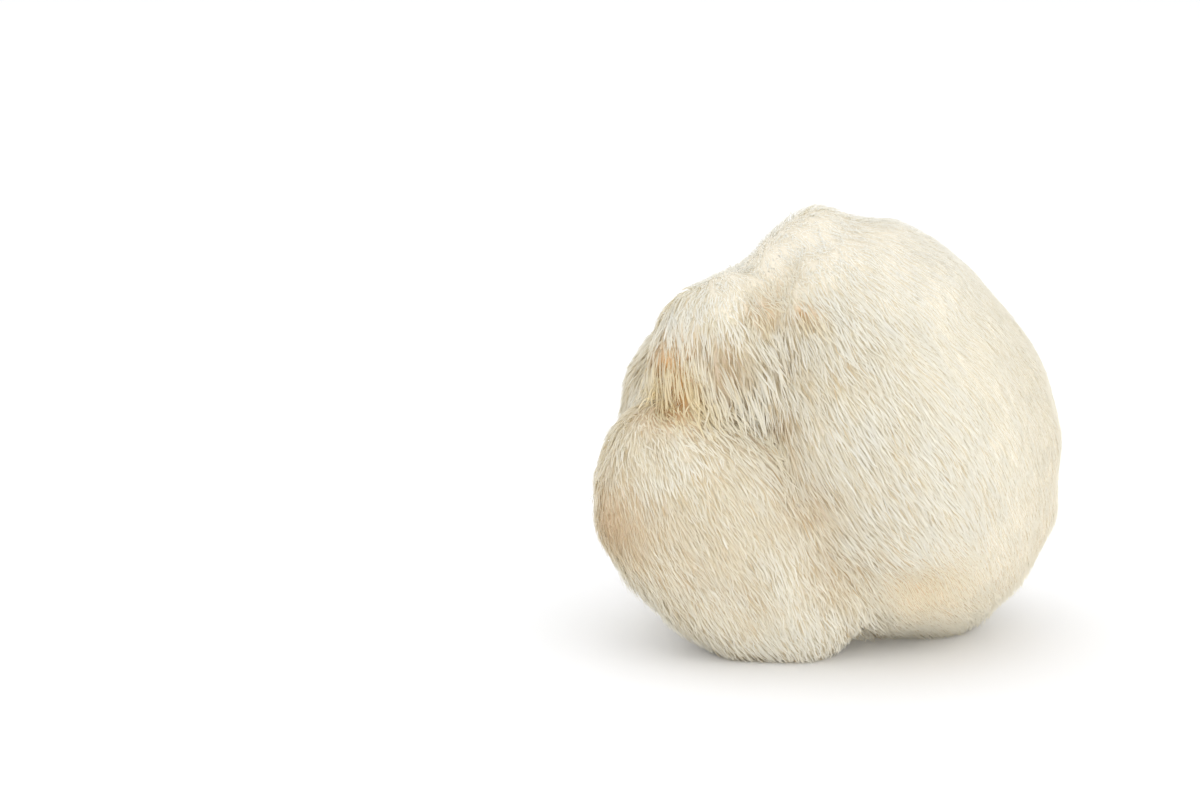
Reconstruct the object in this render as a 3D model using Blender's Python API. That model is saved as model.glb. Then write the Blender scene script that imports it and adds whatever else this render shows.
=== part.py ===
# A lion's mane mushroom: one fruiting body of round lobes grown together under a mane of
# hanging spines, cut off flat where it grew on its log, and resting on that cut.
# Metres, +Z up. The origin is on the cut, under the middle of the head, and -Y is the side
# where the shoulder and the left lobe stand in front of the main lobe.

import bmesh
import bpy
import numpy as np
from mathutils import Euler, Vector, noise
from mathutils.bvhtree import BVHTree

# Each lobe is an ellipsoid that reaches the tips of its spines: its centre, its half sizes,
# its lean in degrees about X, Y and Z, and the way its spines are combed.
LOBES = {
    "main": {
        "centre": (0.0175, -0.0005, 0.0530),
        "half_size": (0.0455, 0.0520, 0.0545),
        "lean": (5, -20, 0),
        "comb": (0.60, -0.22, -0.76),
    },
    "cap": {
        "centre": (0.0115, -0.0050, 0.0855),
        "half_size": (0.0375, 0.0305, 0.0285),
        "lean": (-5, 25, -5),
        "comb": (0.60, -0.22, -0.76),
    },
    "crest": {
        "centre": (-0.0100, -0.0050, 0.1020),
        "half_size": (0.0200, 0.0155, 0.0110),
        "lean": (-5, -45, 10),
        "comb": (0.50, -0.25, -0.70),
    },
    "saddle": {
        "centre": (-0.0275, -0.0125, 0.0925),
        "half_size": (0.0095, 0.0170, 0.0090),
        "lean": (0, -15, -5),
        "comb": (0.42, -0.25, -0.75),
    },
    "shoulder": {
        "centre": (-0.0275, -0.0155, 0.0780),
        "half_size": (0.0225, 0.0160, 0.0235),
        "lean": (-5, -15, 0),
        "comb": (0.28, -0.20, -0.93),
    },
    "left": {
        "centre": (-0.0260, -0.0200, 0.0345),
        "half_size": (0.0425, 0.0280, 0.0320),
        "lean": (-5, 40, 0),
        "comb": (0.44, -0.20, -0.87),
    },
    "toe": {
        "centre": (-0.0135, -0.0255, 0.0160),
        "half_size": (0.0245, 0.0160, 0.0200),
        "lean": (0, 0, 0),
        "comb": (0.44, -0.20, -0.87),
    },
    "right_foot": {
        "centre": (0.0240, 0.0015, 0.0255),
        "half_size": (0.0305, 0.0270, 0.0285),
        "lean": (0, 0, 0),
        "comb": (0.35, -0.15, -0.92),
    },
    "back_top": {
        "centre": (-0.0130, 0.0060, 0.0830),
        "half_size": (0.0240, 0.0240, 0.0195),
        "lean": (0, 0, 0),
        "comb": (0.45, 0.05, -0.85),
    },
    "back_left": {
        "centre": (-0.0225, 0.0080, 0.0500),
        "half_size": (0.0355, 0.0330, 0.0450),
        "lean": (0, 0, 0),
        "comb": (0.30, 0.05, -0.95),
    },
    "back_right": {
        "centre": (0.0220, 0.0230, 0.0400),
        "half_size": (0.0340, 0.0270, 0.0360),
        "lean": (0, 0, 0),
        "comb": (0.50, 0.00, -0.86),
    },
    "foot": {
        "centre": (0.0020, 0.0085, 0.0200),
        "half_size": (0.0440, 0.0300, 0.0300),
        "lean": (0, 0, 0),
        "comb": (0.35, 0.00, -0.93),
    },
}
# Dimples and folds in the skin: where they are, how wide, and how deep.
HOLLOWS = {
    "furrow_top": {"centre": (0.0030, -0.0150, 0.1145), "width": 0.0035, "depth": 0.0012},
    "furrow_middle": {"centre": (-0.0050, -0.0195, 0.1110), "width": 0.0035, "depth": 0.0018},
    "furrow_low": {"centre": (-0.0120, -0.0210, 0.1065), "width": 0.0035, "depth": 0.0018},
    "furrow_end": {"centre": (-0.0165, -0.0225, 0.0995), "width": 0.0035, "depth": 0.0014},
    "pit": {"centre": (-0.0190, -0.0280, 0.0905), "width": 0.0045, "depth": 0.0012},
    "left_hollow": {"centre": (-0.0245, -0.0430, 0.0165), "width": 0.0070, "depth": 0.0018},
    "left_fold": {"centre": (-0.0195, -0.0470, 0.0295), "width": 0.0050, "depth": 0.0008},
    "foot_fold_left": {"centre": (0.0120, -0.0425, 0.0235), "width": 0.0050, "depth": 0.0014},
    "foot_fold": {"centre": (0.0210, -0.0420, 0.0230), "width": 0.0055, "depth": 0.0018},
    "foot_fold_right": {"centre": (0.0300, -0.0400, 0.0245), "width": 0.0050, "depth": 0.0012},
    "groove_top": {"centre": (0.0155, -0.0520, 0.0575), "width": 0.0050, "depth": 0.0006},
    "groove_low": {"centre": (0.0225, -0.0505, 0.0410), "width": 0.0050, "depth": 0.0009},
}
HEART = (0.0, -0.008, 0.050)  # a point inside, from which the whole skin can be seen
CREASE_SOFTNESS = 0.0016  # how widely two lobes run into each other where they meet
COMB_SOFTNESS = 0.0040  # how widely two combs run into each other
LUMP_HEIGHT = 0.0014
LUMP_WIDTH = 0.0130
REACH = 0.110  # farther from the heart than any tip
STEPS_INWARD = 90
STEP_SHARE = 0.7
SLOPE_STEP = 0.0002
SETTLE_STEPS = 3
NEAR_ZERO = 1e-6

SKIN_POINTS = 1690  # corners of the body before it is cut; nearly two spikes grow for each
UNEVENNESS = 0.012  # how far the corners stray from an even spread, on a sphere of radius 1
MANE_DEPTH = 0.0034  # from the body under the spikes out to their tips
SPIKE_LEAN = 0.0046  # how far a tip hangs along the comb from the middle of its foot
SPIKE_LEAN_SPREAD = 0.25
HANG = 0.35  # share of the comb that pulls tips away from the skin under an overhang
CUT_SNAP = 0.0014  # corners this near the cut are moved onto it
LOWEST_TIP = 0.0004  # above the cut
LOWER_TO = 0.6  # share of its height that a spike keeps each time it would touch another
LOWER_ROUNDS = 8
SEED = 7

COLOUR = (0.745, 0.680, 0.545, 1.0)
ROUGHNESS = 0.9
METALLIC = 0.0


def lobe_distance(points, lobe):
    """How far each point is outside one lobe; negative inside it."""
    turn = np.array(Euler(np.radians(lobe["lean"])).to_matrix())
    half_size = np.array(lobe["half_size"])
    local = (points - np.array(lobe["centre"])) @ turn
    outward = np.linalg.norm(local / half_size, axis=1)
    steepness = np.linalg.norm(local / half_size**2, axis=1)
    return outward * (outward - 1) / np.maximum(steepness, NEAR_ZERO)


def head_distance(points):
    """How far each point is outside all the lobes, which run softly into each other."""
    distances = np.stack([lobe_distance(points, lobe) for lobe in LOBES.values()])
    nearest = distances.min(axis=0)
    nearness = np.exp((nearest - distances) / CREASE_SOFTNESS)
    outside = nearest - CREASE_SOFTNESS * np.log(nearness.sum(axis=0))
    for hollow in HOLLOWS.values():
        away = np.linalg.norm(points - np.array(hollow["centre"]), axis=1) / hollow["width"]
        outside += hollow["depth"] * np.exp(-0.5 * away**2)
    return outside


def head_normal(points):
    """The way straight out of the head at each point."""
    slopes = []
    for step in np.eye(3) * SLOPE_STEP:
        slopes.append(head_distance(points + step) - head_distance(points - step))
    slopes = np.stack(slopes, axis=1)
    return slopes / np.linalg.norm(slopes, axis=1, keepdims=True)


def lumps(points):
    """Low swellings all over the head, as heights."""
    return LUMP_HEIGHT * np.array([noise.noise(Vector(point / LUMP_WIDTH)) for point in points])


def skin_points(directions, depth):
    """Where each direction from the heart meets the skin that lies depth under the tips."""
    heart = np.array(HEART)
    distance = np.full(len(directions), REACH)
    for _ in range(STEPS_INWARD):
        points = heart + directions * distance[:, None]
        distance -= STEP_SHARE * (head_distance(points) + depth)
    points = heart + directions * distance[:, None]
    return points + directions * lumps(points)[:, None]


def comb_at(points):
    """The way the spines hang at each point, from the combs of the lobes near it."""
    distances = np.stack([lobe_distance(points, lobe) for lobe in LOBES.values()])
    nearness = np.exp((distances.min(axis=0) - distances) / COMB_SOFTNESS)
    combs = np.array([lobe["comb"] for lobe in LOBES.values()])
    comb = nearness.T @ combs
    return comb / np.linalg.norm(comb, axis=1, keepdims=True)


def spread_directions(count):
    """Directions spread nearly evenly over a sphere."""
    scatter = np.random.default_rng(SEED)
    turn = np.arange(count) * np.pi * (3 - np.sqrt(5))
    height = 1 - 2 * (np.arange(count) + 0.5) / count
    radius = np.sqrt(1 - height**2)
    directions = np.stack([radius * np.cos(turn), radius * np.sin(turn), height], axis=1)
    directions += scatter.normal(scale=UNEVENNESS, size=directions.shape)
    return directions / np.linalg.norm(directions, axis=1, keepdims=True)


def cut_body():
    """The body under the spikes, closed flat where it was cut."""
    body = bmesh.new()
    directions = spread_directions(SKIN_POINTS)
    for direction in directions:
        body.verts.new(direction)
    bmesh.ops.convex_hull(body, input=body.verts[:])
    for corner, point in zip(body.verts, skin_points(directions, MANE_DEPTH)):
        corner.co = point
        if abs(corner.co.z) < CUT_SNAP:
            corner.co.z = 0
    everything = body.verts[:] + body.edges[:] + body.faces[:]
    bmesh.ops.bisect_plane(
        body, geom=everything, dist=NEAR_ZERO, plane_co=(0, 0, 0), plane_no=(0, 0, -1), clear_outer=True
    )
    rim = [edge for edge in body.edges if edge.is_boundary]
    bmesh.ops.triangle_fill(body, use_beauty=True, edges=rim, normal=(0, 0, -1))
    bmesh.ops.triangulate(body, faces=body.faces[:])
    bmesh.ops.recalc_face_normals(body, faces=body.faces[:])
    return body


def tip_points(feet, leans):
    """Where the spikes that grow from these points end, on the outer surface of the mane."""
    outward = head_normal(feet)
    comb = comb_at(feet)
    into_skin = (comb * outward).sum(axis=1, keepdims=True)
    along_skin = comb - outward * into_skin
    hanging = along_skin + outward * np.maximum(into_skin, 0) * HANG
    tips = feet + hanging * leans[:, None]
    tips += outward * MANE_DEPTH
    for _ in range(SETTLE_STEPS):
        tips -= head_normal(tips) * (head_distance(tips) - lumps(tips))[:, None]
    return tips


def touching_faces(body):
    """Faces that meet another face anywhere but at a shared corner or edge."""
    body.faces.ensure_lookup_table()
    body.verts.index_update()
    tree = BVHTree.FromBMesh(body, epsilon=0.0)
    corners = [{corner.index for corner in face.verts} for face in body.faces]
    touching = set()
    for one, other in tree.overlap(tree):
        if one != other and not corners[one] & corners[other]:
            touching.update((one, other))
    return touching


def grow_spikes(body):
    """Raises every face of the skin into a spike, lower where two spikes would touch."""
    skin = [face for face in body.faces if max(corner.co.z for corner in face.verts) > NEAR_ZERO]
    feet = np.array([face.calc_center_median() for face in skin])
    scatter = np.random.default_rng(SEED + 1)
    leans = SPIKE_LEAN * scatter.uniform(1 - SPIKE_LEAN_SPREAD, 1 + SPIKE_LEAN_SPREAD, len(feet))
    tips = tip_points(feet, leans)
    poked = bmesh.ops.poke(body, faces=skin)
    points = poked["verts"]
    body.verts.index_update()
    for point, tip in zip(points, tips):
        point.co = tip
        point.co.z = max(point.co.z, LOWEST_TIP)
    bmesh.ops.recalc_face_normals(body, faces=body.faces[:])
    order = {point.index: number for number, point in enumerate(points)}
    for _ in range(LOWER_ROUNDS):
        touching = touching_faces(body)
        if not touching:
            break
        lowered = set()
        for number in touching:
            for corner in body.faces[number].verts:
                if corner.index in order:
                    lowered.add(corner.index)
        for corner in lowered:
            foot = Vector(feet[order[corner]])
            body.verts.ensure_lookup_table()
            body.verts[corner].co = foot.lerp(body.verts[corner].co, LOWER_TO)
    return len(touching_faces(body))


for thing in list(bpy.data.objects):
    bpy.data.objects.remove(thing)

flesh = bpy.data.materials.new("spongy_flesh")
flesh.use_nodes = True
surface = flesh.node_tree.nodes["Principled BSDF"]
surface.inputs["Base Color"].default_value = COLOUR
surface.inputs["Roughness"].default_value = ROUGHNESS
surface.inputs["Metallic"].default_value = METALLIC
flesh.diffuse_color = COLOUR

body = cut_body()
touching = grow_spikes(body)
print("spikes that still touch:", touching, "triangles:", len(body.faces))
mesh = bpy.data.meshes.new("fruiting_body")
body.to_mesh(mesh)
body.free()
mesh.materials.append(flesh)
fruiting_body = bpy.data.objects.new("fruiting_body", mesh)
bpy.context.scene.collection.objects.link(fruiting_body)
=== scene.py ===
import math

import bmesh
import bpy
import numpy as np
from mathutils import Euler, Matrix, Vector, kdtree, noise


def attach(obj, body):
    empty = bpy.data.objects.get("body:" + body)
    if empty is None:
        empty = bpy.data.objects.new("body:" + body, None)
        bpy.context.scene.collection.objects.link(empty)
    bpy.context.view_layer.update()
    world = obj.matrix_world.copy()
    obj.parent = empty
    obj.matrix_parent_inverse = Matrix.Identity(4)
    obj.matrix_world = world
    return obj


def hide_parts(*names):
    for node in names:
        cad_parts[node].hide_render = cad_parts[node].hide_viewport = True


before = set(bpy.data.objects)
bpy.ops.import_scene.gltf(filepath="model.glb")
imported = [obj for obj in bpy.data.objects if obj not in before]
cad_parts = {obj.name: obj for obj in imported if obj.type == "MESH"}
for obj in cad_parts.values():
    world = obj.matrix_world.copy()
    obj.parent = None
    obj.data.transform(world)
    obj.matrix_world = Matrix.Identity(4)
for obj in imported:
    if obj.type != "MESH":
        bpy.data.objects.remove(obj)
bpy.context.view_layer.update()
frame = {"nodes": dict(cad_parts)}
print("frame loaded:", ", ".join(frame["nodes"]))

# The head: lobes that reach the tips of the spines, as in the frame's solid.
# centre, halfSize in metres, lean in degrees, comb is the way the spines hang, clump is how
# far a tuft's tips are drawn together.
lobes = {
    "main": {
        "centre": (0.0175, -0.0005, 0.0530),
        "halfSize": (0.0455, 0.0520, 0.0545),
        "lean": (5, -20, 0),
        "comb": (0.56, -0.20, -0.81),
        "spineLength": 0.0100,
        "clump": 0.22,
    },
    "cap": {
        "centre": (0.0115, -0.0050, 0.0855),
        "halfSize": (0.0375, 0.0305, 0.0285),
        "lean": (-5, 25, -5),
        "comb": (0.54, -0.24, -0.81),
        "spineLength": 0.0082,
        "clump": 0.22,
    },
    "crest": {
        "centre": (-0.0100, -0.0050, 0.1020),
        "halfSize": (0.0200, 0.0155, 0.0110),
        "lean": (-5, -45, 10),
        "comb": (0.28, -0.25, -0.90),
        "spineLength": 0.0046,
        "clump": 0.25,
    },
    "saddle": {
        "centre": (-0.0275, -0.0125, 0.0925),
        "halfSize": (0.0095, 0.0170, 0.0090),
        "lean": (0, -15, -5),
        "comb": (0.15, -0.30, -0.90),
        "spineLength": 0.0048,
        "clump": 0.25,
    },
    "shoulder": {
        "centre": (-0.0275, -0.0155, 0.0780),
        "halfSize": (0.0225, 0.0160, 0.0235),
        "lean": (-5, -15, 0),
        "comb": (0.30, -0.20, -0.93),
        "spineLength": 0.0110,
        "clump": 0.95,
    },
    "left": {
        "centre": (-0.0260, -0.0200, 0.0345),
        "halfSize": (0.0425, 0.0280, 0.0320),
        "lean": (-5, 40, 0),
        "comb": (0.46, -0.20, -0.86),
        "spineLength": 0.0074,
        "clump": 0.14,
    },
    "toe": {
        "centre": (-0.0135, -0.0255, 0.0160),
        "halfSize": (0.0245, 0.0160, 0.0200),
        "lean": (0, 0, 0),
        "comb": (0.46, -0.20, -0.86),
        "spineLength": 0.0062,
        "clump": 0.14,
    },
    "rightFoot": {
        "centre": (0.0240, 0.0015, 0.0255),
        "halfSize": (0.0305, 0.0270, 0.0285),
        "lean": (0, 0, 0),
        "comb": (0.30, -0.15, -0.93),
        "spineLength": 0.0045,
        "clump": 0.15,
    },
    "backTop": {
        "centre": (-0.0130, 0.0060, 0.0830),
        "halfSize": (0.0240, 0.0240, 0.0195),
        "lean": (0, 0, 0),
        "comb": (0.45, 0.05, -0.85),
        "spineLength": 0.0085,
        "clump": 0.22,
    },
    "backLeft": {
        "centre": (-0.0225, 0.0080, 0.0500),
        "halfSize": (0.0355, 0.0330, 0.0450),
        "lean": (0, 0, 0),
        "comb": (0.30, 0.05, -0.95),
        "spineLength": 0.0095,
        "clump": 0.22,
    },
    "backRight": {
        "centre": (0.0220, 0.0230, 0.0400),
        "halfSize": (0.0340, 0.0270, 0.0360),
        "lean": (0, 0, 0),
        "comb": (0.50, 0.00, -0.86),
        "spineLength": 0.0095,
        "clump": 0.22,
    },
    "foot": {
        "centre": (0.0020, 0.0085, 0.0200),
        "halfSize": (0.0440, 0.0300, 0.0300),
        "lean": (0, 0, 0),
        "comb": (0.35, 0.00, -0.93),
        "spineLength": 0.0050,
        "clump": 0.20,
    },
}
# Dimples and folds in the skin.
hollows = {
    "furrowTop": {"centre": (0.0030, -0.0150, 0.1145), "width": 0.0035, "depth": 0.0012},
    "furrowMiddle": {"centre": (-0.0050, -0.0195, 0.1110), "width": 0.0035, "depth": 0.0018},
    "furrowLow": {"centre": (-0.0120, -0.0210, 0.1065), "width": 0.0035, "depth": 0.0018},
    "furrowEnd": {"centre": (-0.0165, -0.0225, 0.0995), "width": 0.0035, "depth": 0.0014},
    "bareHollow": {"centre": (-0.0190, -0.0280, 0.0905), "width": 0.0045, "depth": 0.0012},
    "grooveHigh": {"centre": (-0.0117, -0.0181, 0.1073), "width": 0.0025, "depth": 0.0024},
    "grooveMiddle": {"centre": (-0.0135, -0.0196, 0.1039), "width": 0.0025, "depth": 0.0024},
    "grooveEnd": {"centre": (-0.0164, -0.0200, 0.1002), "width": 0.0025, "depth": 0.0026},
    "grooveFoot": {"centre": (-0.0191, -0.0205, 0.0984), "width": 0.0025, "depth": 0.0024},
    "pitLeft": {"centre": (-0.0219, -0.0263, 0.0934), "width": 0.0016, "depth": 0.0014},
    "pitMiddle": {"centre": (-0.0176, -0.0237, 0.0942), "width": 0.0013, "depth": 0.0016},
    "pitRight": {"centre": (-0.0092, -0.0289, 0.0944), "width": 0.0012, "depth": 0.0020},
    "pitEnd": {"centre": (-0.0055, -0.0313, 0.0933), "width": 0.0011, "depth": 0.0014},
    "leftHollow": {"centre": (-0.0245, -0.0430, 0.0165), "width": 0.0070, "depth": 0.0018},
    "leftFold": {"centre": (-0.0195, -0.0470, 0.0295), "width": 0.0050, "depth": 0.0008},
    "footFoldLeft": {"centre": (0.0120, -0.0425, 0.0235), "width": 0.0050, "depth": 0.0014},
    "footFold": {"centre": (0.0210, -0.0420, 0.0230), "width": 0.0055, "depth": 0.0018},
    "footFoldRight": {"centre": (0.0300, -0.0400, 0.0245), "width": 0.0050, "depth": 0.0012},
    "grooveTop": {"centre": (0.0155, -0.0520, 0.0575), "width": 0.0050, "depth": 0.0006},
    "grooveLow": {"centre": (0.0225, -0.0505, 0.0410), "width": 0.0050, "depth": 0.0009},
}
head = {
    "heart": (0.0, -0.008, 0.050),  # a point inside that sees the whole skin
    "creaseSoftness": 0.0016,
    "combSoftness": 0.0040,
    "foldWidth": 0.0060,
    "lumpHeight": 0.0014,
    "lumpWidth": 0.0130,
    "reach": 0.110,
    "stepsInward": 90,
    "stepShare": 0.7,
    "mattedCalm": 0.4,  # how calm matted mane counts as
}
# Places on the skin that differ. warmth: yellower, below 0 whiter; in folds, gaps and creases
# it is painted shade. calm: closer, smoother mane. matting: short spines felted in all
# directions. shade: painted shade, coloured as if deeper in the mane; below 0 painted light,
# coloured as if nearer the tips. lift: tips stand off, in metres. sunk: the flesh lies
# deeper, in metres.
places = {
    # orangeFold and orangeHigh: painted warm reflected light in the fold under the shoulder; the negative
    # shade of orangeFold is painted light.
    "orangeFold": {
        "centre": (-0.0425, -0.0275, 0.0745),
        "width": 0.0060,
        "warmth": 0.95,
        "calm": 0.4,
        "shade": -0.90,
        "sunk": 0.0005,
    },
    "orangeHigh": {"centre": (-0.0419, -0.0271, 0.0825), "width": 0.0050, "warmth": 0.25, "calm": 0.35},
    # painted shade: warmer colour in the gaps between the shoulder's tufts
    "gapLeft": {"centre": (-0.0289, -0.0295, 0.0846), "width": 0.0018, "warmth": 0.40},
    "gapMiddle": {"centre": (-0.0273, -0.0302, 0.0789), "width": 0.0018, "warmth": 0.45},
    # painted light under the shoulder: warmer, and lighter than its shade
    "shoulderUnder": {
        "centre": (-0.0440, -0.0270, 0.0690),
        "width": 0.0050,
        "warmth": 0.30,
        "shade": -0.40,
    },
    "shoulderFoot": {
        "centre": (-0.0330, -0.0310, 0.0670),
        "width": 0.0060,
        "warmth": 0.15,
        "shade": -0.30,
    },
    # painted shade: warmer colour in the grooves along the furrow
    "groove": {"centre": (-0.0178, -0.0203, 0.0993), "width": 0.0035, "warmth": 0.45},
    "grooveHigh": {"centre": (-0.0125, -0.0188, 0.1055), "width": 0.0030, "warmth": 0.35},
    "pitLeft": {"centre": (-0.0219, -0.0263, 0.0934), "width": 0.0022, "warmth": 0.50},
    "pitMiddle": {"centre": (-0.0176, -0.0237, 0.0942), "width": 0.0022, "warmth": 0.60},
    "pitRight": {"centre": (-0.0092, -0.0279, 0.0942), "width": 0.0017, "warmth": 1.0},
    "pitEnd": {"centre": (-0.0055, -0.0305, 0.0933), "width": 0.0014, "warmth": 0.60},
    # painted shade: warmer colour in the creases between lobes; the negative shade of junction is painted
    # light
    "junction": {"centre": (-0.0165, -0.0360, 0.0630), "width": 0.0055, "warmth": 0.30, "shade": -0.20},
    "creaseMiddle": {"centre": (-0.0080, -0.0430, 0.0465), "width": 0.0060, "warmth": 0.25},
    "creaseLow": {"centre": (0.0000, -0.0415, 0.0264), "width": 0.0060, "warmth": 0.25},
    "footFold": {"centre": (0.0210, -0.0420, 0.0225), "width": 0.0085, "warmth": 0.30, "calm": 0.6},
    # painted light on the foot and the low right side: lighter and slightly warmer
    "foot": {
        "centre": (0.0300, -0.0380, 0.0120),
        "width": 0.0120,
        "warmth": 0.15,
        "calm": 0.8,
        "shade": -0.20,
    },
    "lowRight": {
        "centre": (0.0500, -0.0180, 0.0220),
        "width": 0.0200,
        "warmth": 0.14,
        "calm": 1.0,
        "shade": -0.10,
    },
    "right": {"centre": (0.0550, -0.0180, 0.0580), "width": 0.0290, "warmth": 0.02, "calm": 1.0},
    "upperRight": {"centre": (0.0420, -0.0180, 0.0900), "width": 0.0210, "calm": 1.0},
    "crown": {"centre": (0.0180, -0.0120, 0.1120), "width": 0.0160, "warmth": -0.20, "calm": 0.9},
    # painted shadow along the left edge, cast by a neighbouring head that is not built: darker and warmer
    "leftEdge": {
        "centre": (-0.0590, -0.0320, 0.0390),
        "width": 0.0070,
        "warmth": 0.44,
        "calm": 0.8,
        "shade": 0.85,
    },
    # painted shade in the hollow above the toe
    "leftDent": {
        "centre": (-0.0235, -0.0420, 0.0175),
        "width": 0.0065,
        "warmth": 0.12,
        "calm": 0.3,
        "shade": 0.30,
    },
    # painted light on the left lobe's underside: warmer and lighter
    "leftUnder": {
        "centre": (-0.0461, -0.0396, 0.0217),
        "width": 0.0100,
        "warmth": 0.22,
        "calm": 0.3,
        "shade": -0.15,
    },
    # painted shade: the middle of the left lobe coloured darker
    "leftHeart": {"centre": (-0.0300, -0.0470, 0.0360), "width": 0.0190, "calm": 0.2, "shade": 0.16},
    "leftMiddle": {
        "centre": (-0.0330, -0.0450, 0.0390),
        "width": 0.0120,
        "warmth": 0.04,
        "shade": 0.14,
    },
    # painted light on the shoulder's left edge: whiter and lighter
    "shoulderLeft": {
        "centre": (-0.0400, -0.0220, 0.0935),
        "width": 0.0065,
        "warmth": -0.15,
        "matting": 0.4,
        "calm": 0.3,
        "shade": -0.25,
    },
    "shoulderHeart": {
        "centre": (-0.0290, -0.0290, 0.0800),
        "width": 0.0110,
        "warmth": 0.08,
        "sunk": 0.0008,
    },
    # painted light at the back of the shoulder: warmer and lighter than its shade
    "shoulderBack": {
        "centre": (-0.0480, -0.0200, 0.0790),
        "width": 0.0060,
        "warmth": 0.25,
        "shade": -0.30,
    },
    "ridge": {
        "centre": (-0.0275, -0.0285, 0.0955),
        "width": 0.0045,
        "warmth": -0.15,
        "matting": 0.5,
        "lift": 0.0010,
    },
    # painted shade: a darker, warmer band near the left lobe's left edge
    "leftBand": {
        "centre": (-0.0490, -0.0400, 0.0420),
        "width": 0.0050,
        "warmth": 0.15,
        "calm": 0.3,
        "shade": 0.15,
    },
    # painted light on the foot of the left lobe
    "leftFoot": {"centre": (-0.0180, -0.0410, 0.0080), "width": 0.0110, "calm": 0.3, "shade": -0.20},
    "crest": {"centre": (-0.0080, -0.0120, 0.1120), "width": 0.0085, "warmth": -0.20, "matting": 0.8},
    "furrowTop": {
        "centre": (0.0010, -0.0175, 0.1130),
        "width": 0.0045,
        "warmth": -0.15,
        "matting": 0.6,
    },
    "furrow": {"centre": (-0.0085, -0.0200, 0.1085), "width": 0.0060, "warmth": -0.10, "matting": 0.8},
    "furrowEnd": {
        "centre": (-0.0165, -0.0225, 0.0995),
        "width": 0.0055,
        "warmth": -0.05,
        "matting": 0.8,
    },
    "barePatch": {
        "centre": (-0.0188, -0.0280, 0.0907),
        "width": 0.0035,
        "warmth": 0.05,
        "matting": 1.0,
    },
    "saddle": {"centre": (-0.0285, -0.0200, 0.1005), "width": 0.0060, "warmth": -0.15, "matting": 0.8},
    "saddleBack": {
        "centre": (-0.0265, -0.0100, 0.1005),
        "width": 0.0070,
        "warmth": -0.15,
        "matting": 0.4,
        "calm": 0.6,
    },
    "crestLeft": {
        "centre": (-0.0190, -0.0060, 0.1070),
        "width": 0.0080,
        "warmth": -0.15,
        "matting": 0.4,
        "calm": 0.6,
    },
    "shoulderHem": {"centre": (-0.0330, -0.0330, 0.0715), "width": 0.0060, "lift": 0.0016},
    "shoulderSide": {"centre": (-0.0190, -0.0330, 0.0740), "width": 0.0050, "lift": 0.0010},
}
lobeList = list(lobes.values())
lobeNames = list(lobes)


def lobeDistance(points, lobe):
    turn = np.array(Euler(np.radians(lobe["lean"])).to_matrix())
    halfSize = np.array(lobe["halfSize"])
    local = (points - np.array(lobe["centre"])) @ turn
    outward = np.linalg.norm(local / halfSize, axis=1)
    steepness = np.linalg.norm(local / halfSize**2, axis=1)
    return outward * (outward - 1) / np.maximum(steepness, 1e-6)


def lobeDistances(points):
    return np.stack([lobeDistance(points, lobe) for lobe in lobeList])


def headDistance(points):  # how far outside the tips' surface, negative inside
    distances = lobeDistances(points)
    nearest = distances.min(axis=0)
    nearness = np.exp((nearest - distances) / head["creaseSoftness"])
    outside = nearest - head["creaseSoftness"] * np.log(nearness.sum(axis=0))
    for hollow in hollows.values():
        away = np.linalg.norm(points - np.array(hollow["centre"]), axis=1) / hollow["width"]
        outside += hollow["depth"] * np.exp(-0.5 * away**2)
    return outside


def unit(vectors):
    return vectors / np.maximum(np.linalg.norm(vectors, axis=1, keepdims=True), 1e-9)


def headNormal(points, step=0.0003):
    slopes = [headDistance(points + side) - headDistance(points - side) for side in np.eye(3) * step]
    return unit(np.stack(slopes, axis=1))


def lumps(points):
    width = head["lumpWidth"]
    return head["lumpHeight"] * np.array([noise.noise(Vector(point / width)) for point in points])


def skinPoints(directions, depth):  # where rays from the heart meet the skin, under the tips
    heart = np.array(head["heart"])
    distance = np.full(len(directions), head["reach"])
    for _ in range(head["stepsInward"]):
        points = heart + directions * distance[:, None]
        distance -= head["stepShare"] * (headDistance(points) + depth)
    points = heart + directions * distance[:, None]
    return points + directions * lumps(points)[:, None]


def placeShare(points, effect):
    share = np.zeros(len(points))
    for place in places.values():
        away = np.linalg.norm(points - np.array(place["centre"]), axis=1) / place["width"]
        share += place.get(effect, 0) * np.exp(-0.5 * away**2)
    return share


def calmShare(points):
    return np.clip(placeShare(points, "calm") + placeShare(points, "matting") * head["mattedCalm"], 0, 1)


def foldShare(points, outward):  # 0 on round skin to 1 at the bottom of a fold
    height = head["foldWidth"]
    opening = headDistance(points + outward * height) - headDistance(points)
    return np.clip(1 - opening / height, 0, 1)


def setAttribute(mesh, name, values):
    attribute = mesh.attributes.new(name, "FLOAT", "POINT")
    attribute.data.foreach_set("value", np.asarray(values, np.float32))


# The flesh under the mane, cut flat at the bottom.
fleshSettings = {
    "detail": 6,  # subdivisions of the ball it starts from
    "fineAround": (-0.0190, -0.0270, 0.0900),  # smaller triangles at the furrow and its pits
    "fineReach": 0.30,
    "fineCuts": 2,
    "maneDepth": 0.0017,  # from the flesh out to the tips
    "calmDepth": 0.0009,
    "cutSnap": 0.0004,  # corners this near the cut are moved onto it
    "onCut": 1e-6,  # heights up to this lie on the cut
}


def maneDepthAt(points):
    deep, shallow = fleshSettings["maneDepth"], fleshSettings["calmDepth"]
    return deep + (shallow - deep) * calmShare(points) + placeShare(points, "sunk")


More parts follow.
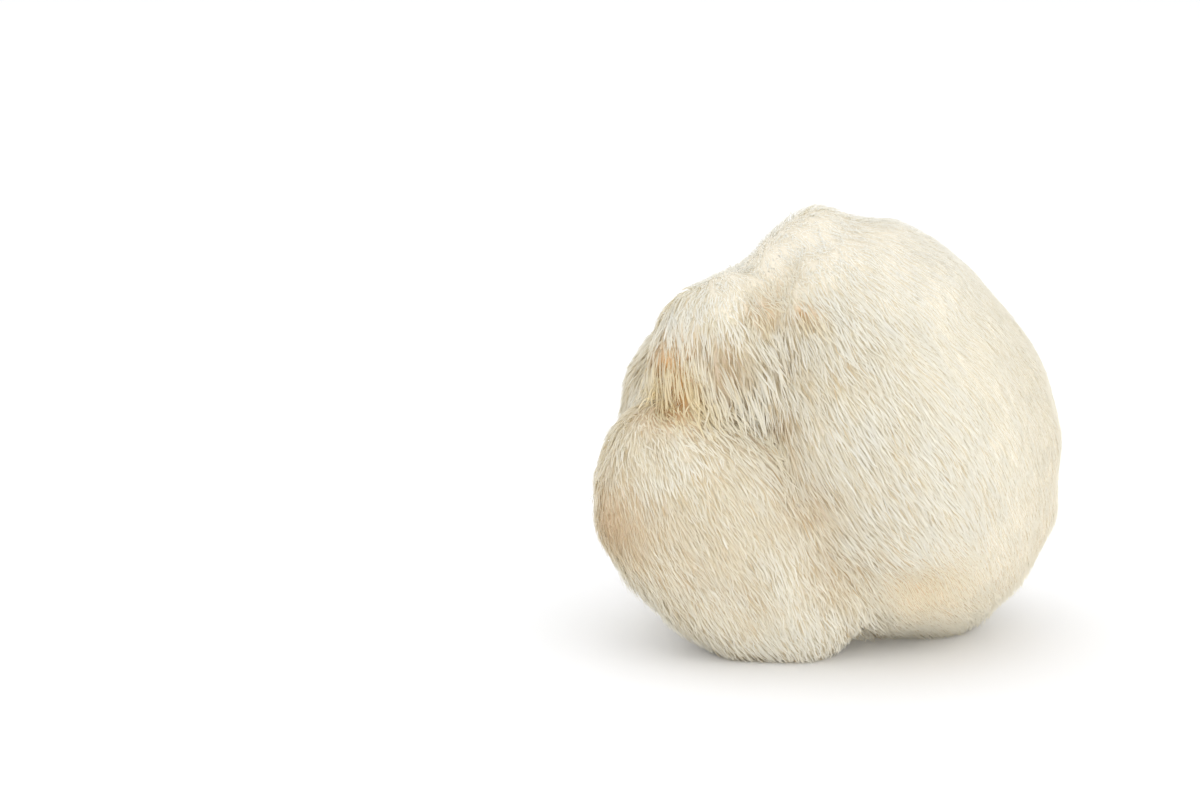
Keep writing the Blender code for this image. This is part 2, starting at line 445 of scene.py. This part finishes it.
def makeFlesh(settings):
    body = bmesh.new()
    bmesh.ops.create_icosphere(body, subdivisions=settings["detail"], radius=1)
    fineWay = (Vector(settings["fineAround"]) - Vector(head["heart"])).normalized()
    fineEdges = [
        edge
        for edge in body.edges
        if all((corner.co - fineWay).length < settings["fineReach"] for corner in edge.verts)
    ]
    bmesh.ops.subdivide_edges(body, edges=fineEdges, cuts=settings["fineCuts"], use_grid_fill=True)
    bmesh.ops.triangulate(body, faces=body.faces[:])
    directions = unit(np.array([corner.co for corner in body.verts]))
    points = skinPoints(directions, settings["maneDepth"])
    points = skinPoints(directions, maneDepthAt(points))
    for corner, point in zip(body.verts, points):
        corner.co = point
        if abs(point[2]) < settings["cutSnap"]:
            corner.co.z = 0
    everything = body.verts[:] + body.edges[:] + body.faces[:]
    bmesh.ops.bisect_plane(
        body,
        geom=everything,
        dist=settings["onCut"],
        plane_co=(0, 0, 0),
        plane_no=(0, 0, -1),
        clear_outer=True,
    )
    rim = [edge for edge in body.edges if edge.is_boundary]
    bmesh.ops.triangle_fill(body, use_beauty=True, edges=rim, normal=(0, 0, -1))
    bmesh.ops.triangulate(body, faces=body.faces[:])
    bmesh.ops.recalc_face_normals(body, faces=body.faces[:])
    for face in body.faces:
        face.smooth = max(corner.co.z for corner in face.verts) > settings["onCut"]
    mesh = bpy.data.meshes.new("flesh")
    body.to_mesh(mesh)
    body.free()
    corners = np.array([corner.co for corner in mesh.vertices])
    # warmth where places set it, partly painted shade in folds and gaps
    setAttribute(mesh, "warmth", np.clip(placeShare(corners, "warmth"), 0, 1))
    flesh = bpy.data.objects.new("flesh", mesh)
    bpy.context.scene.collection.objects.link(flesh)
    return flesh


flesh = makeFlesh(fleshSettings)
print("flesh made:", len(flesh.data.polygons), "triangles")

# Rings of a spine from its root: places along it and shares of its radius. Then comes the tip.
spineKinds = {
    "mane": {"places": (0.0, 0.28, 0.54, 0.76, 0.91), "radii": (1.0, 1.0, 0.94, 0.74, 0.42)},
    "down": {"places": (0.0, 0.40, 0.78), "radii": (1.0, 1.0, 0.72)},
}
# Points that the spines around them hang away from.
fans = {
    "shoulder": {"centre": (-0.0285, -0.0080, 0.1050), "width": 0.0200, "strength": 0.90},
}
# Small holes between the spines.
pits = {
    "left": {"centre": (-0.0219, -0.0263, 0.0934), "width": 0.0009},
    "middle": {"centre": (-0.0176, -0.0237, 0.0942), "width": 0.0008},
    "right": {"centre": (-0.0092, -0.0289, 0.0944), "width": 0.0011},
    "end": {"centre": (-0.0057, -0.0313, 0.0930), "width": 0.0006},
    "gapHigh": {"centre": (-0.0289, -0.0306, 0.0846), "width": 0.0008},
    "gapLow": {"centre": (-0.0273, -0.0315, 0.0789), "width": 0.0009},
    "gapRight": {"centre": (-0.0147, -0.0332, 0.0771), "width": 0.0008},
    "gapLeft": {"centre": (-0.0395, -0.0296, 0.0695), "width": 0.0010},
}
# The mane. Spines are grouped into tufts, large ones of small ones.
maneSettings = {
    "tries": 200000,
    "spacing": 0.00080,  # between roots
    "mostInPiece": 7000,  # spines
    "downFrom": 0.5,  # how calm the mane is where spines become fine down
    "sides": 3,
    "footRadius": 0.00023,
    "flatness": 0.32,  # thickness of a spine for its width
    "roll": 0.10,
    "roundness": 0.10,  # how far the shading follows the spine and not the skin
    "radiusSpread": 0.25,
    "finer": 0.52,  # how much thinner, shorter and closer the spines are where the mane is calm
    "shorter": 0.40,
    "closer": 0.28,
    "calmOrder": 0.8,  # how much less they stray and gather there
    "calmHeight": 0.7,  # how much less their tips rise and sink
    "calmFly": 0.5,
    "calmGolden": 0.85,
    "calmEvenness": 0.6,  # how much evener their shading and colour are
    # how much less painted shade they have
    "calmPaleness": 0.45,
    "lengthSpread": 0.28,
    "rootSink": 0.0005,
    "rise": 0.62,  # share of the mane's depth that a spine climbs before it bends over
    "riseAlong": 0.22,  # share of its length at which it has climbed
    "easeAlong": 0.35,  # share of its length that follows the comb at the tip
    "easeSplay": 0.5,
    "cover": 0.55,  # share of the mane's depth under which no spine's middle sinks
    "hang": 0.45,  # pull away from the skin under an overhang
    "wander": 0.20,
    "wanderWidth": 0.010,
    "ripple": 0.24,
    "rippleWidth": 0.0024,
    "felting": 1.5,  # turn of the comb where the mane is matted
    "feltWidth": 0.0016,
    "wave": 0.00034,  # sideways swing of a spine
    "waveTurns": (0.6, 1.2),
    "stray": 0.12,
    "strayShare": 0.06,
    "straySplay": 0.25,
    "tipHeight": (-0.0004, 0.0002),  # of the tips over the skin's surface
    "underShare": 0.40,  # spines that lie low and keep out of the tufts
    "underHeight": -0.0004,
    "underWidth": 1.4,  # how much wider they are
    "proudShare": 0.14,
    "proudHeight": 0.0006,
    "proudSpread": (0.3, 1.0),
    "flyShare": 0.03,
    "flyHeight": 0.0016,
    "hangHeight": 0.0016,  # how far tips hang clear of an overhang
    "settleSteps": 3,
    "largeTuft": 12,  # spines in one
    "smallTuft": 4,
    "smallPull": 0.35,
    "pullSpread": (0.6, 1.4),
    "mostPull": 0.95,
    "tuftSpread": 0.30,
    "tuftHeight": 0.0013,  # how far whole tufts rise or sink, and turn, where they are strong
    "tuftTurn": 0.24,
    "tuftGrowth": 1.2,  # how much larger distinct tufts are
    "tuftWidth": 0.0016,
    "tuftReach": 1.2,  # widths from its middle at which its colour stops changing
    "tuftRoundness": 0.45,
    "tuftShade": 0.32,  # painted shade along a tuft's border
    "tuftLight": 0.4,  # painted highlight: how far its middle is lighter for that
    "gapShade": 0.30,  # painted shade on the low spines between distinct tufts
    "leastLay": 0.75,  # of its length that a spine lies along the skin
    "deepest": 0.0022,  # under the tips, where the colour is warmest: painted shade deep in the mane
    # painted shade on each spine's lower corners
    "edgeShade": 0.04,
    "tipEdge": 0.2,  # share of it that the tip has
    # painted shade: warmer colour at the bottom of folds
    "foldWarmth": 0.36,
    "neutralWarmth": 0.17,
    "warmthSpread": 0.05,
    "maneShade": 0.12,  # painted shade where the mane is long
    "mottleShade": 0.20,
    "mottleWidth": 0.0090,
    "footWarmth": 0.40,  # at the cut: painted shade where the spines meet the floor
    "footWidth": 0.0020,
    "goldenShare": 0.085,  # thin spines as golden as the bottom of the mane: partly their own colour, partly painted shade of the gaps between tufts
    "goldenDepth": 0.70,
    "goldenWarmth": 0.22,
    "goldenRadius": 0.75,
    "lowest": 0.00025,  # above the floor
    "pitChecks": (0.0, 0.15, 0.3, 0.45, 0.6, 0.75, 0.9, 1.0),  # places along a spine kept out of pits
    "seed": 11,
}


def scatterRoots(flesh, settings, chance):
    mesh = flesh.data
    mesh.calc_loop_triangles()
    corners = np.empty(len(mesh.vertices) * 3)
    mesh.vertices.foreach_get("co", corners)
    corners = corners.reshape(-1, 3)
    triangles = np.empty(len(mesh.loop_triangles) * 3, np.int32)
    mesh.loop_triangles.foreach_get("vertices", triangles)
    triangles = corners[triangles.reshape(-1, 3)]
    triangles = triangles[triangles[:, :, 2].max(axis=1) > fleshSettings["onCut"]]
    sides = np.cross(triangles[:, 1] - triangles[:, 0], triangles[:, 2] - triangles[:, 0])
    area = np.cumsum(np.linalg.norm(sides, axis=1))
    tries = settings["tries"]
    chosen = triangles[np.searchsorted(area, chance.uniform(0, area[-1], tries))]
    first = np.sqrt(chance.uniform(0, 1, (tries, 1)))
    second = chance.uniform(0, 1, (tries, 1))
    spots = chosen[:, 0] * (1 - first) + chosen[:, 1] * first * (1 - second)
    spots += chosen[:, 2] * first * second
    spacing = settings["spacing"] * (1 - settings["closer"] * calmShare(spots))
    return spots[keptApart(spots, spacing)]


def keptApart(spots, spacing):
    cells = {}
    kept = []
    around = [(x, y, z) for x in (-1, 0, 1) for y in (-1, 0, 1) for z in (-1, 0, 1)]
    homes = np.floor(spots / spacing.max()).astype(int).tolist()
    for number, (spot, home, room) in enumerate(zip(spots.tolist(), homes, spacing.tolist())):
        cellX, cellY, cellZ = home
        crowded = any(
            math.dist(spot, other) < room
            for x, y, z in around
            for other in cells.get((cellX + x, cellY + y, cellZ + z), ())
        )
        if not crowded:
            cells.setdefault(tuple(home), []).append(spot)
            kept.append(number)
    return kept


def noiseAt(points, width):
    return np.array([noise.noise_vector(Vector(point / width)) for point in points])


def nearestGuide(roots, guides):
    tree = kdtree.KDTree(len(guides))
    for number, guide in enumerate(guides):
        tree.insert(roots[guide], number)
    tree.balance()
    return np.array([guides[tree.find(root)[1]] for root in roots])


def hangingAt(roots, outward, nearness, matting, settings):  # the way that each spine goes
    comb = unit(nearness @ np.array([lobe["comb"] for lobe in lobeList], float))
    for fan in fans.values():
        away = roots - np.array(fan["centre"])
        share = np.exp(-0.5 * (np.linalg.norm(away, axis=1, keepdims=True) / fan["width"]) ** 2)
        comb += unit(away) * share * fan["strength"]
    comb += noiseAt(roots, settings["wanderWidth"]) * settings["wander"]
    comb += noiseAt(roots, settings["rippleWidth"]) * settings["ripple"]
    comb = unit(comb + noiseAt(roots, settings["feltWidth"]) * (settings["felting"] * matting)[:, None])
    intoSkin = (comb * outward).sum(axis=1, keepdims=True)
    lying = comb - outward * intoSkin
    lay = np.maximum(np.linalg.norm(lying, axis=1, keepdims=True), 1e-3)
    lying *= np.maximum(1, settings["leastLay"] / lay)
    return lying + outward * np.maximum(intoSkin, 0) * settings["hang"] * (1 - matting)[:, None]


def tipHeights(roots, outward, calm, distinct, tuft, settings, chance):  # over the skin
    count = len(roots)
    calmness = 1 - settings["calmHeight"] * calm
    low = chance.uniform(0, 1, count) < settings["underShare"]
    lowHeight = settings["underHeight"] * (1 + distinct)
    height = np.where(low, lowHeight, chance.uniform(*settings["tipHeight"], count))
    height *= calmness
    height += placeShare(roots, "lift")
    height += chance.normal(0, settings["tuftHeight"], count)[tuft] * distinct
    goldenShare = settings["goldenShare"] * (1 - settings["calmGolden"] * calm)
    golden = chance.uniform(0, 1, count) < goldenShare
    proud = ~golden & (chance.uniform(0, 1, count) < settings["proudShare"])
    rise = proud * chance.uniform(*settings["proudSpread"], count)
    height += rise * settings["proudHeight"] * calmness
    flying = ~golden & (chance.uniform(0, 1, count) < settings["flyShare"])
    rise = flying * chance.uniform(*settings["proudSpread"], count)
    height += rise * settings["flyHeight"] * (1 - settings["calmFly"] * calm)
    height += np.clip(-outward[:, 2], 0, 1) * chance.uniform(0, 1, count) * settings["hangHeight"]
    return height, low, golden


def gatherTips(tips, roots, tuft, clump, loose, settings, chance):  # towards their tufts' tips
    count = len(roots)
    guides = chance.choice(count, count // settings["smallTuft"], replace=False)
    smallTuft = nearestGuide(roots, guides)
    for guide, pull in ((tuft, clump), (smallTuft, settings["smallPull"])):
        strength = pull * chance.uniform(*settings["pullSpread"], count)[guide] * loose
        gathered = tips[guide] + (roots - roots[guide]) * settings["tuftSpread"]
        tips += (gathered - tips) * np.clip(strength, 0, settings["mostPull"])[:, None]


def growPaths(roots, settings, chance):
    count = len(roots)
    distances = lobeDistances(roots)
    nearness = np.exp((distances.min(axis=0) - distances) / head["combSoftness"])
    nearness = (nearness / nearness.sum(axis=0)).T
    outward = headNormal(roots)
    matting = np.clip(placeShare(roots, "matting"), 0, 1)
    calm = calmShare(roots)
    order = 1 - settings["calmOrder"] * calm
    evenness = 1 - settings["calmEvenness"] * calm
    hanging = hangingAt(roots, outward, nearness, matting, settings)

    length = nearness @ np.array([lobe["spineLength"] for lobe in lobeList])
    length *= chance.uniform(1 - settings["lengthSpread"], 1 + settings["lengthSpread"], count)
    length *= 1 - settings["shorter"] * calm
    splay = chance.normal(0, settings["stray"], (count, 3)) * order[:, None]
    splay[chance.uniform(0, 1, count) < settings["strayShare"]] *= settings["straySplay"] / settings["stray"]

    clump = nearness @ np.array([lobe["clump"] for lobe in lobeList])
    tuftSize = settings["largeTuft"] * (1 + settings["tuftGrowth"] * clump**2)
    tuft = nearestGuide(roots, np.flatnonzero(chance.uniform(0, tuftSize) < 1))
    distinct = clump * (1 - calm)
    aside = (roots - roots[tuft]) / settings["tuftWidth"]
    aside -= outward * (aside * outward).sum(axis=1, keepdims=True)
    border = np.clip(np.linalg.norm(aside, axis=1), 0, settings["tuftReach"])
    splay += chance.normal(0, settings["tuftTurn"], (count, 3))[tuft] * distinct[:, None]

    climb = outward * maneDepthAt(roots)[:, None]
    tips = roots + (hanging + splay) * length[:, None] + climb
    height, low, golden = tipHeights(roots, outward, calm, distinct, tuft, settings, chance)
    for _ in range(settings["settleSteps"]):
        tips -= headNormal(tips) * (headDistance(tips) - lumps(tips) - height)[:, None]
    gatherTips(tips, roots, tuft, clump, order * ~low, settings, chance)

    start = roots - outward * settings["rootSink"]
    reach = np.linalg.norm(tips - roots, axis=1, keepdims=True)
    rising = roots + climb * settings["rise"] + (tips - roots) * settings["riseAlong"]
    easing = tips - unit(hanging + splay * settings["easeSplay"]) * reach * settings["easeAlong"]
    middle = (start + 3 * rising + 3 * easing + tips) / 8
    buried = lumps(middle) - headDistance(middle) - maneDepthAt(middle) * settings["cover"]
    lift = outward * np.maximum(buried, 0)[:, None] / 0.75  # the middle moves 3/4 as far as these two
    rising += lift
    easing += lift
    straight = unit(tips - rising)
    mottle = noiseAt(roots, settings["mottleWidth"])[:, 0]
    return {
        "start": start,
        "rising": rising,
        "easing": easing,
        "tips": tips,
        "outward": unit(
            unit(outward - straight * (outward * straight).sum(axis=1, keepdims=True))
            + aside * (settings["tuftRoundness"] * distinct)[:, None]
            + chance.normal(0, settings["roll"], (count, 3)) * evenness[:, None]
        ),
        # painted shade at tuft borders and in gaps, painted highlight at tuft middles, golden spines, placed
        # painted shade and light, painted shade where the mane is long, and random mottle
        "shade": settings["tuftShade"] * distinct * (border**2 - settings["tuftLight"])
        + golden * settings["goldenDepth"]
        + low * distinct * settings["gapShade"]
        + placeShare(roots, "shade")
        + settings["maneShade"] * (1 - calm)
        + mottle * settings["mottleShade"] * evenness,
        "owner": distances.argmin(axis=0),
        "calm": calm,
        # own tone, placed warmth, golden spines, painted shade at the cut and in folds, and random spread
        "warmth": settings["neutralWarmth"]
        + placeShare(roots, "warmth")
        + golden * settings["goldenWarmth"]
        + np.exp(-roots[:, 2] / settings["footWidth"]) * settings["footWarmth"]
        + foldShare(roots, outward) * settings["foldWarmth"]
        + chance.normal(0, settings["warmthSpread"], count),
        "radius": settings["footRadius"]
        * chance.uniform(1 - settings["radiusSpread"], 1 + settings["radiusSpread"], count)
        * (1 - settings["finer"] * calm)
        * np.where(golden, settings["goldenRadius"], 1)
        * np.where(low & ~golden, settings["underWidth"], 1),
        "swing": chance.normal(0, settings["wave"], count),
        "turns": chance.uniform(*settings["waveTurns"], count),
        "phase": chance.uniform(0, 1, count),
    }


def bend(grown, place):  # a point of each spine, the way it goes on and the way across
    rest = 1 - place
    start, rising, easing, tips = grown["start"], grown["rising"], grown["easing"], grown["tips"]
    point = rest**3 * start + 3 * rest**2 * place * rising + 3 * rest * place**2 * easing + place**3 * tips
    along = rest**2 * (rising - start) + 2 * rest * place * (easing - rising) + place**2 * (tips - easing)
    along = unit(along)
    across = unit(np.cross(along, grown["outward"]))
    swing = grown["swing"] * place * np.sin(2 * math.pi * (grown["turns"] * place + grown["phase"]))
    return point + across * swing[:, None], along, across


def clearOfPits(grown, settings):
    clear = np.ones(len(grown["start"]), bool)
    for place in settings["pitChecks"]:
        points = bend(grown, place)[0]
        for pit in pits.values():
            clear &= np.linalg.norm(points - np.array(pit["centre"]), axis=1) > pit["width"]
    return clear


def spineMesh(name, grown, kind, settings):
    outward = grown["outward"]
    count = len(outward)
    sides = settings["sides"]
    rings = []
    normals = []
    underNormals = []
    roundness = (settings["roundness"] * (1 - settings["calmEvenness"] * grown["calm"]))[:, None]
    for place, share in zip(kind["places"], kind["radii"]):
        point, along, across = bend(grown, place)
        over = np.cross(across, along) * settings["flatness"]
        underNormals += [-unit(over)] * sides
        for side in range(sides):
            angle = 2 * math.pi * (side / sides + 0.25)  # the first corner is on top
            sideways = across * math.cos(angle) + over * math.sin(angle)
            rings.append(point + sideways * (grown["radius"] * share)[:, None])
            normals.append(unit(sideways * roundness + outward))
    point, along, across = bend(grown, 1.0)
    rings.append(point)
    normals.append(unit(along * roundness + outward))
    normals += underNormals + [-unit(over)]
    points = np.stack(rings, axis=1)
    points[:, :, 2] = np.maximum(points[:, :, 2], settings["lowest"])
    faces = []
    for ring in range(len(kind["places"]) - 1):
        for side in range(sides):
            here, there = ring * sides + side, ring * sides + (side + 1) % sides
            faces.append((there, here, here + sides, there + sides))
    top = len(rings) - 1
    for side in range(sides):
        faces.append((top - sides + (side + 1) % sides, top - sides + side, top))
    faces.append(tuple(range(sides)))
    sizes = np.tile([len(face) for face in faces], count)
    underFaces = [face for face in faces if all(corner % sides or corner == top for corner in face)]
    shading = [corner + len(rings) * (face in underFaces) for face in faces for corner in face]
    pattern = np.concatenate(faces)
    corners = (pattern[None, :] + (np.arange(count) * len(rings))[:, None]).ravel()
    mesh = bpy.data.meshes.new(name)
    mesh.vertices.add(count * len(rings))
    mesh.vertices.foreach_set("co", points.astype(np.float32).ravel())
    mesh.loops.add(len(corners))
    mesh.loops.foreach_set("vertex_index", corners.astype(np.int32))
    mesh.polygons.add(len(sizes))
    mesh.polygons.foreach_set("loop_start", np.concatenate(([0], np.cumsum(sizes)[:-1])).astype(np.int32))
    mesh.update(calc_edges=True)
    mesh.shade_smooth()
    mesh.normals_split_custom_set(np.stack(normals, axis=1)[:, shading].reshape(-1, 3).astype(np.float32))
    # painted shade: darker the deeper under the tips, on the spines' lower corners and as worked out per
    # spine; paler where the mane is calm
    under = (lumps(points.reshape(-1, 3)) - headDistance(points.reshape(-1, 3))).reshape(count, -1)
    edge = np.array(([0.0] + [1.0] * (sides - 1)) * len(kind["places"]) + [settings["tipEdge"]])
    depth = under / settings["deepest"] + edge * settings["edgeShade"] + grown["shade"][:, None]
    depth = np.clip(depth * (1 - settings["calmPaleness"] * grown["calm"])[:, None], 0, 1).ravel()
    warmth = np.clip(np.repeat(grown["warmth"], len(rings)), 0, 1)
    setAttribute(mesh, "depth", depth)
    setAttribute(mesh, "warmth", warmth)
    bakeMap = mesh.uv_layers.new(name="OFBake")  # the finish depends on these two alone
    bakeMap.data.foreach_set("uv", np.stack((warmth, depth), axis=1)[corners].astype(np.float32).ravel())
    spines = bpy.data.objects.new(name, mesh)
    bpy.context.scene.collection.objects.link(spines)
    return spines


# Which lobes each piece covers. Each has long spines, the mane, and where it is calm fine down.
regions = {
    "Main": ("main",),
    "Top": ("cap", "crest", "saddle"),
    "Shoulder": ("shoulder",),
    "Left": ("left", "toe"),
    "Foot": ("rightFoot", "foot"),
    "BackLeft": ("backLeft", "backTop"),
    "BackRight": ("backRight",),
}

chance = np.random.default_rng(maneSettings["seed"])
noise.seed_set(maneSettings["seed"])  # noise_vector follows it
roots = scatterRoots(flesh, maneSettings, chance)
print("mane rooted:", len(roots), "spines")
grown = growPaths(roots, maneSettings, chance)
clear = clearOfPits(grown, maneSettings)
roots = roots[clear]
grown = {part: values[clear] for part, values in grown.items()}
spinePieces = []
for region, members in regions.items():
    inRegion = np.isin(grown["owner"], [lobeNames.index(member) for member in members])
    for kindName, kind in spineKinds.items():
        isDown = grown["calm"] > maneSettings["downFrom"]
        mine = np.flatnonzero(inRegion & (isDown if kindName == "down" else ~isDown))
        mine = mine[np.argsort(-roots[mine, 2])]  # from the top down
        bunches = np.array_split(mine, max(1, math.ceil(len(mine) / maneSettings["mostInPiece"])))
        for number, bunch in enumerate(bunches):
            name = kindName + region + (str(number + 1) if len(bunches) > 1 else "")
            if len(bunch):
                piece = {part: values[bunch] for part, values in grown.items()}
                spinePieces.append(spineMesh(name, piece, kind, maneSettings))
                print(name, "made:", len(bunch), "spines")
triangleTotal = sum(len(piece.data.loops) - 2 * len(piece.data.polygons) for piece in [flesh, *spinePieces])
print("triangles in all:", triangleTotal)

# Finishes.
spineFinish = {
    "coolTip": (0.980, 0.974, 0.938, 1),
    # root colours: the darker, yellower colour deep in the mane, painted shade
    "coolRoot": (0.952, 0.925, 0.806, 1),
    "warmTip": (0.960, 0.890, 0.700, 1),
    "warmRoot": (0.700, 0.520, 0.260, 1),
    "rampStart": 0.20,  # of the depth at which the root's colour begins
    "rampEnd": 0.85,
    "roughness": 0.7,
    "shine": 0.25,
    "glow": 0.54,  # share of the light that comes through a spine
}
fleshFinish = {
    # skinColour is darker than the cut's colour: painted shade of the flesh under the mane
    "skinColour": (0.775, 0.72, 0.605, 1),
    "warmSkin": (0.68, 0.42, 0.19, 1),
    "cutColour": (0.93, 0.91, 0.86, 1),
    "roughness": 0.85,
    "fibreScale": 900,
    "fibreDetail": 6,
    "fibreBump": 0.4,
    "fibreHeight": 0.0004,
    "facingDown": -0.999,  # faces whose normal's z is under this are the cut
}


def link(tree, output, target):
    tree.links.new(output, target)


def depthRamp(tree, depth, tipColour, rootColour, finish):
    ramp = tree.nodes.new("ShaderNodeValToRGB")
    ramp.color_ramp.elements[0].color = tipColour
    ramp.color_ramp.elements[0].position = finish["rampStart"]
    ramp.color_ramp.elements[1].color = rootColour
    ramp.color_ramp.elements[1].position = finish["rampEnd"]
    link(tree, depth.outputs["Fac"], ramp.inputs["Fac"])
    return ramp.outputs["Color"]


def spineMaterial(finish):
    material = bpy.data.materials.new("spineTissue")
    material.use_nodes = True
    tree = material.node_tree
    shader = tree.nodes["Principled BSDF"]
    shader.inputs["Roughness"].default_value = finish["roughness"]
    shader.inputs["Specular IOR Level"].default_value = finish["shine"]
    depth = tree.nodes.new("ShaderNodeAttribute")
    depth.attribute_name = "depth"
    warmth = tree.nodes.new("ShaderNodeAttribute")
    warmth.attribute_name = "warmth"
    blend = tree.nodes.new("ShaderNodeMix")
    blend.data_type = "RGBA"
    link(tree, warmth.outputs["Fac"], blend.inputs["Factor"])
    # deeper is darker and yellower: painted shade
    link(tree, depthRamp(tree, depth, finish["coolTip"], finish["coolRoot"], finish), blend.inputs["A"])
    link(tree, depthRamp(tree, depth, finish["warmTip"], finish["warmRoot"], finish), blend.inputs["B"])
    link(tree, blend.outputs["Result"], shader.inputs["Base Color"])
    glow = tree.nodes.new("ShaderNodeBsdfTranslucent")
    link(tree, blend.outputs["Result"], glow.inputs["Color"])
    both = tree.nodes.new("ShaderNodeMixShader")
    both.inputs["Fac"].default_value = finish["glow"]
    link(tree, shader.outputs["BSDF"], both.inputs[1])
    link(tree, glow.outputs["BSDF"], both.inputs[2])
    link(tree, both.outputs["Shader"], tree.nodes["Material Output"].inputs["Surface"])
    return material


def fleshMaterial(finish):
    material = bpy.data.materials.new("spongyFlesh")
    material.use_nodes = True
    tree = material.node_tree
    shader = tree.nodes["Principled BSDF"]
    shader.inputs["Roughness"].default_value = finish["roughness"]
    place = tree.nodes.new("ShaderNodeTexCoord")
    fibres = tree.nodes.new("ShaderNodeTexNoise")
    fibres.inputs["Scale"].default_value = finish["fibreScale"]
    fibres.inputs["Detail"].default_value = finish["fibreDetail"]
    link(tree, place.outputs["Object"], fibres.inputs["Vector"])
    ramp = tree.nodes.new("ShaderNodeValToRGB")
    warmth = tree.nodes.new("ShaderNodeAttribute")
    warmth.attribute_name = "warmth"
    ramp.color_ramp.elements[0].color = finish["skinColour"]
    ramp.color_ramp.elements[1].color = finish["warmSkin"]
    link(tree, warmth.outputs["Fac"], ramp.inputs["Fac"])
    geometry = tree.nodes.new("ShaderNodeNewGeometry")
    split = tree.nodes.new("ShaderNodeSeparateXYZ")
    link(tree, geometry.outputs["True Normal"], split.inputs["Vector"])
    down = tree.nodes.new("ShaderNodeMath")
    down.operation = "LESS_THAN"
    down.inputs[1].default_value = finish["facingDown"]
    link(tree, split.outputs["Z"], down.inputs[0])
    blend = tree.nodes.new("ShaderNodeMix")
    blend.data_type = "RGBA"
    blend.inputs["B"].default_value = finish["cutColour"]
    link(tree, down.outputs["Value"], blend.inputs["Factor"])
    link(tree, ramp.outputs["Color"], blend.inputs["A"])
    link(tree, blend.outputs["Result"], shader.inputs["Base Color"])
    bump = tree.nodes.new("ShaderNodeBump")
    bump.inputs["Strength"].default_value = finish["fibreBump"]
    bump.inputs["Distance"].default_value = finish["fibreHeight"]
    link(tree, fibres.outputs["Fac"], bump.inputs["Height"])
    link(tree, bump.outputs["Normal"], shader.inputs["Normal"])
    return material


spineTissue = spineMaterial(spineFinish)
spongyFlesh = fleshMaterial(fleshFinish)
flesh.data.materials.append(spongyFlesh)
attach(flesh, "root")
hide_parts("fruiting_body")
for spines in spinePieces:
    spines.data.materials.append(spineTissue)
    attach(spines, "root")
print("finishes set")

# The white floor and surround, soft light and the camera.
studio = {
    "floorSize": 6.0,
    "floorColour": (0.93, 0.935, 0.95, 1),
    "floorRoughness": 0.9,
    "surround": 1.02,
    "cameraLens": 100,
    "cameraSensor": 36,
    "nearClip": 0.01,
    "cameraHeight": 13.0,  # degrees above the floor
    "cameraDistance": 0.914,
    "metresPerPixel": 0.000274,
    "frameSize": (1200, 800),
    "headPixel": (826, 636),  # where the point under the head's middle falls
    "headPoint": (0.0, -0.010, 0.0),
}
lamps = {
    "topLight": {
        "place": (-0.25, 0.25, 1.25),
        "aim": (0, 0, 0.08),
        "size": 1.4,
        "power": 2.2,
        "colour": (1.0, 1.0, 1.0),
    },
    "keyLight": {
        "place": (1.10, -0.35, 0.32),
        "aim": (0, 0, 0.05),
        "size": 1.6,
        "power": 4.7,
        "colour": (1.0, 1.0, 0.99),
    },
    "rimLight": {
        "place": (-0.90, 0.70, 0.75),
        "aim": (0, 0, 0.06),
        "size": 1.2,
        "power": 1.5,
        "colour": (1.0, 1.0, 0.99),
    },
    "frontLight": {
        "place": (0.05, -1.2, 0.20),
        "aim": (0, 0, 0.03),
        "size": 0.35,
        "power": 3.6,
        "colour": (1.0, 1.0, 0.99),
    },
}


def makeFloor(settings):
    sheet = bmesh.new()
    bmesh.ops.create_grid(sheet, x_segments=1, y_segments=1, size=settings["floorSize"] / 2)
    mesh = bpy.data.meshes.new("floor")
    sheet.to_mesh(mesh)
    sheet.free()
    floor = bpy.data.objects.new("floor", mesh)
    bpy.context.scene.collection.objects.link(floor)
    paint = bpy.data.materials.new("whiteFloor")
    paint.use_nodes = True
    shader = paint.node_tree.nodes["Principled BSDF"]
    shader.inputs["Base Color"].default_value = settings["floorColour"]
    shader.inputs["Roughness"].default_value = settings["floorRoughness"]
    mesh.materials.append(paint)


def makeLight(name, settings):
    light = bpy.data.lights.new(name, "AREA")
    light.size = settings["size"]
    light.energy = settings["power"]
    light.color = settings["colour"]
    lamp = bpy.data.objects.new(name, light)
    bpy.context.scene.collection.objects.link(lamp)
    lamp.location = settings["place"]
    towards = Vector(settings["aim"]) - Vector(settings["place"])
    lamp.rotation_euler = towards.to_track_quat("-Z", "Y").to_euler()


def makeCamera(settings):
    lens = bpy.data.cameras.new("camera")
    lens.lens = settings["cameraLens"]
    lens.sensor_width = settings["cameraSensor"]
    lens.clip_start = settings["nearClip"]
    camera = bpy.data.objects.new("camera", lens)
    bpy.context.scene.collection.objects.link(camera)
    height = math.radians(settings["cameraHeight"])
    across = Vector((1, 0, 0))
    upward = Vector((0, math.sin(height), math.cos(height)))
    back = Vector((0, -math.cos(height), math.sin(height)))
    width, tall = settings["frameSize"]
    pixelX, pixelY = settings["headPixel"]
    scale = settings["metresPerPixel"]
    aim = Vector(settings["headPoint"]) + across * (width / 2 - pixelX) * scale
    aim += upward * (pixelY - tall / 2) * scale
    camera.location = aim + back * settings["cameraDistance"]
    camera.rotation_euler = back.to_track_quat("Z", "Y").to_euler()
    bpy.context.scene.camera = camera


makeFloor(studio)
makeCamera(studio)
for lampName, lampSettings in lamps.items():
    makeLight(lampName, lampSettings)
world = bpy.data.worlds.new("surround")
world.use_nodes = True
world.node_tree.nodes["Background"].inputs["Color"].default_value = (1, 1, 1, 1)
world.node_tree.nodes["Background"].inputs["Strength"].default_value = studio["surround"]
bpy.context.scene.world = world
bpy.context.scene.view_settings.view_transform = "Standard"
print("floor, lights and camera placed")
